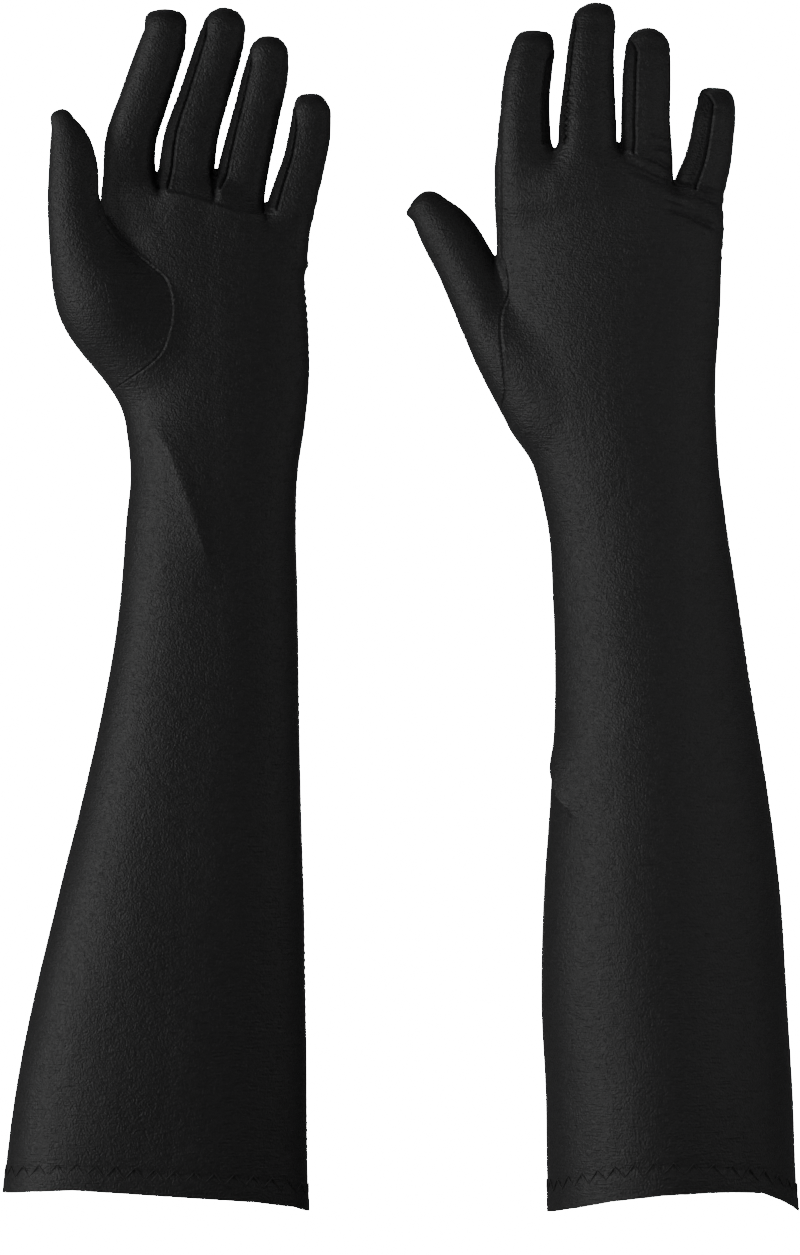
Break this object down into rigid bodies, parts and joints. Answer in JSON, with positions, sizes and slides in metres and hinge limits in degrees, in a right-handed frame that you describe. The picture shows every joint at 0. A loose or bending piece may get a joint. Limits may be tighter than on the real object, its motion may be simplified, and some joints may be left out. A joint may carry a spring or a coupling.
{
  "type": "opera gloves",
  "caption": "Pair of elbow-length stretch opera gloves with set-in thumbs, fourchettes between the fingers and zigzag-stitched hems, standing upright.",
  "frame": {"origin": "centre of the pair's footprint, on the surface that the two open cuffs stand on", "axes": "+Z from the hems to the fingertips; +X from the left-hand glove to the right-hand glove; the left-hand glove's palm and the right-hand glove's back face -Y"},
  "size_m": [0.3203, 0.0902, 0.4836],
  "materials": {
    "fabric": "stretch satin, black, soft sheen",
    "fourchette": "stretch satin, black, side walls of the fingers",
    "thread": "black sewing thread, matt"
  },
  "bodies": {
    "left_sleeve": {"left_sleeve": "fabric", "left_hem": "fabric", "left_hem_stitch": "thread", "left_sleeve_seam": "thread"},
    "left_hand": {"left_hand": "fabric", "left_thumb_gusset": "fabric", "left_finger_webs": "fourchette", "left_hand_seam": "thread"},
    "left_index_base": {"left_index_base": "fabric", "left_index_base_fourchette": "fourchette"},
    "left_index_tip": {"left_index_tip": "fabric", "left_index_tip_fourchette": "fourchette"},
    "left_middle_base": {"left_middle_base": "fabric", "left_middle_base_fourchette": "fourchette"},
    "left_middle_tip": {"left_middle_tip": "fabric", "left_middle_tip_fourchette": "fourchette"},
    "left_ring_base": {"left_ring_base": "fabric", "left_ring_base_fourchette": "fourchette"},
    "left_ring_tip": {"left_ring_tip": "fabric", "left_ring_tip_fourchette": "fourchette"},
    "left_little_base": {"left_little_base": "fabric", "left_little_base_fourchette": "fourchette"},
    "left_little_tip": {"left_little_tip": "fabric", "left_little_tip_fourchette": "fourchette"},
    "left_thumb_base": {"left_thumb_base": "fabric"},
    "left_thumb_tip": {"left_thumb_tip": "fabric"},
    "right_sleeve": {"right_sleeve": "fabric", "right_hem": "fabric", "right_hem_stitch": "thread", "right_sleeve_seam": "thread"},
    "right_hand": {"right_hand": "fabric", "right_thumb_gusset": "fabric", "right_finger_webs": "fourchette", "right_hand_seam": "thread"},
    "right_index_base": {"right_index_base": "fabric", "right_index_base_fourchette": "fourchette"},
    "right_index_tip": {"right_index_tip": "fabric", "right_index_tip_fourchette": "fourchette"},
    "right_middle_base": {"right_middle_base": "fabric", "right_middle_base_fourchette": "fourchette"},
    "right_middle_tip": {"right_middle_tip": "fabric", "right_middle_tip_fourchette": "fourchette"},
    "right_ring_base": {"right_ring_base": "fabric", "right_ring_base_fourchette": "fourchette"},
    "right_ring_tip": {"right_ring_tip": "fabric", "right_ring_tip_fourchette": "fourchette"},
    "right_little_base": {"right_little_base": "fabric", "right_little_base_fourchette": "fourchette"},
    "right_little_tip": {"right_little_tip": "fabric", "right_little_tip_fourchette": "fourchette"},
    "right_thumb_base": {"right_thumb_base": "fabric"},
    "right_thumb_tip": {"right_thumb_tip": "fabric"}
  },
  "joints": [
    {"name": "pair_spread", "type": "slide", "parent": "left_sleeve", "child": "right_sleeve", "axis": [1, 0, 0], "range_m": [0, 0.2]},
    {"name": "left_wrist", "type": "hinge", "parent": "left_sleeve", "child": "left_hand", "pos_m": [-0.0744, 0, 0.298], "axis": [1, 0, 0], "range_deg": [-40, 40]},
    {"name": "left_index_curl", "type": "hinge", "parent": "left_hand", "child": "left_index_base", "pos_m": [-0.10723, -0.00383, 0.42785], "axis": [0.9867, 0, -0.1626], "range_deg": [-10, 58]},
    {"name": "left_index_tip_curl", "type": "hinge", "parent": "left_index_base", "child": "left_index_tip", "pos_m": [-0.09932, -0.00567, 0.4536], "axis": [0.9544, 0, -0.2986], "range_deg": [-10, 58]},
    {"name": "left_middle_curl", "type": "hinge", "parent": "left_hand", "child": "left_middle_base", "pos_m": [-0.08383, -0.00409, 0.42784], "axis": [0.9789, 0, -0.2046], "range_deg": [-10, 72]},
    {"name": "left_middle_tip_curl", "type": "hinge", "parent": "left_middle_base", "child": "left_middle_tip", "pos_m": [-0.07591, -0.00568, 0.45361], "axis": [0.9619, 0, -0.2735], "range_deg": [-10, 72]},
    {"name": "left_ring_curl", "type": "hinge", "parent": "left_hand", "child": "left_ring_base", "pos_m": [-0.06034, -0.00369, 0.42682], "axis": [0.9782, 0, -0.2078], "range_deg": [-10, 72]},
    {"name": "left_ring_tip_curl", "type": "hinge", "parent": "left_ring_base", "child": "left_ring_tip", "pos_m": [-0.0557, -0.0055, 0.44553], "axis": [0.9778, 0, -0.2093], "range_deg": [-10, 72]},
    {"name": "left_little_curl", "type": "hinge", "parent": "left_hand", "child": "left_little_base", "pos_m": [-0.04145, -0.00349, 0.40979], "axis": [0.9689, 0, -0.2473], "range_deg": [-10, 72]},
    {"name": "left_little_tip_curl", "type": "hinge", "parent": "left_little_base", "child": "left_little_tip", "pos_m": [-0.03751, -0.00526, 0.42449], "axis": [0.9755, 0, -0.2198], "range_deg": [-10, 72]},
    {"name": "left_thumb_curl", "type": "hinge", "parent": "left_hand", "child": "left_thumb_base", "pos_m": [-0.12488, -0.0168, 0.38719], "axis": [0.8273, 0.4754, 0.2993], "range_deg": [0, 50]},
    {"name": "left_thumb_tip_curl", "type": "hinge", "parent": "left_thumb_base", "child": "left_thumb_tip", "pos_m": [-0.12804, -0.01709, 0.40809], "axis": [0.8591, 0.4937, 0.1349], "range_deg": [0, 50]},
    {"name": "right_wrist", "type": "hinge", "parent": "right_sleeve", "child": "right_hand", "pos_m": [0.0904, 0, 0.298], "axis": [-1, 0, 0], "range_deg": [-40, 40]},
    {"name": "right_index_curl", "type": "hinge", "parent": "right_hand", "child": "right_index_base", "pos_m": [0.04979, 0.00389, 0.43775], "axis": [-0.9995, 0, 0.0331], "range_deg": [-10, 58]},
    {"name": "right_index_tip_curl", "type": "hinge", "parent": "right_index_base", "child": "right_index_tip", "pos_m": [0.05081, 0.00562, 0.45231], "axis": [-0.9919, 0, 0.1267], "range_deg": [-10, 58]},
    {"name": "right_middle_curl", "type": "hinge", "parent": "right_hand", "child": "right_middle_base", "pos_m": [0.075, 0.00419, 0.43879], "axis": [-0.9998, 0, 0.0199], "range_deg": [-10, 72]},
    {"name": "right_middle_tip_curl", "type": "hinge", "parent": "right_middle_base", "child": "right_middle_tip", "pos_m": [0.07577, 0.00573, 0.45848], "axis": [-0.9979, 0, 0.065], "range_deg": [-10, 72]},
    {"name": "right_ring_curl", "type": "hinge", "parent": "right_hand", "child": "right_ring_base", "pos_m": [0.0983, 0.00379, 0.43876], "axis": [-0.9999, 0, 0.0122], "range_deg": [-10, 72]},
    {"name": "right_ring_tip_curl", "type": "hinge", "parent": "right_ring_base", "child": "right_ring_tip", "pos_m": [0.09877, 0.00566, 0.45329], "axis": [-0.9992, 0, 0.0392], "range_deg": [-10, 72]},
    {"name": "right_little_curl", "type": "hinge", "parent": "right_hand", "child": "right_little_base", "pos_m": [0.12255, 0.00356, 0.41975], "axis": [-0.9763, 0, 0.2165], "range_deg": [-10, 72]},
    {"name": "right_little_tip_curl", "type": "hinge", "parent": "right_little_base", "child": "right_little_tip", "pos_m": [0.12518, 0.00524, 0.43226], "axis": [-0.986, 0, 0.1665], "range_deg": [-10, 72]},
    {"name": "right_thumb_curl", "type": "hinge", "parent": "right_hand", "child": "right_thumb_base", "pos_m": [0.02878, 0.01245, 0.37732], "axis": [-0.7645, 0.4394, -0.4716], "range_deg": [0, 50]},
    {"name": "right_thumb_tip_curl", "type": "hinge", "parent": "right_thumb_base", "child": "right_thumb_tip", "pos_m": [0.02017, 0.01522, 0.39236], "axis": [-0.7169, 0.412, -0.5624], "range_deg": [0, 50]}
  ],
  "couplings": [
    {"joint": "left_index_tip_curl", "follows": "left_index_curl", "ratio": 1},
    {"joint": "left_middle_tip_curl", "follows": "left_middle_curl", "ratio": 1},
    {"joint": "left_ring_tip_curl", "follows": "left_ring_curl", "ratio": 1},
    {"joint": "left_little_tip_curl", "follows": "left_little_curl", "ratio": 1},
    {"joint": "left_thumb_tip_curl", "follows": "left_thumb_curl", "ratio": 1},
    {"joint": "right_index_tip_curl", "follows": "right_index_curl", "ratio": 1},
    {"joint": "right_middle_tip_curl", "follows": "right_middle_curl", "ratio": 1},
    {"joint": "right_ring_tip_curl", "follows": "right_ring_curl", "ratio": 1},
    {"joint": "right_little_tip_curl", "follows": "right_little_curl", "ratio": 1},
    {"joint": "right_thumb_tip_curl", "follows": "right_thumb_curl", "ratio": 1}
  ]
}
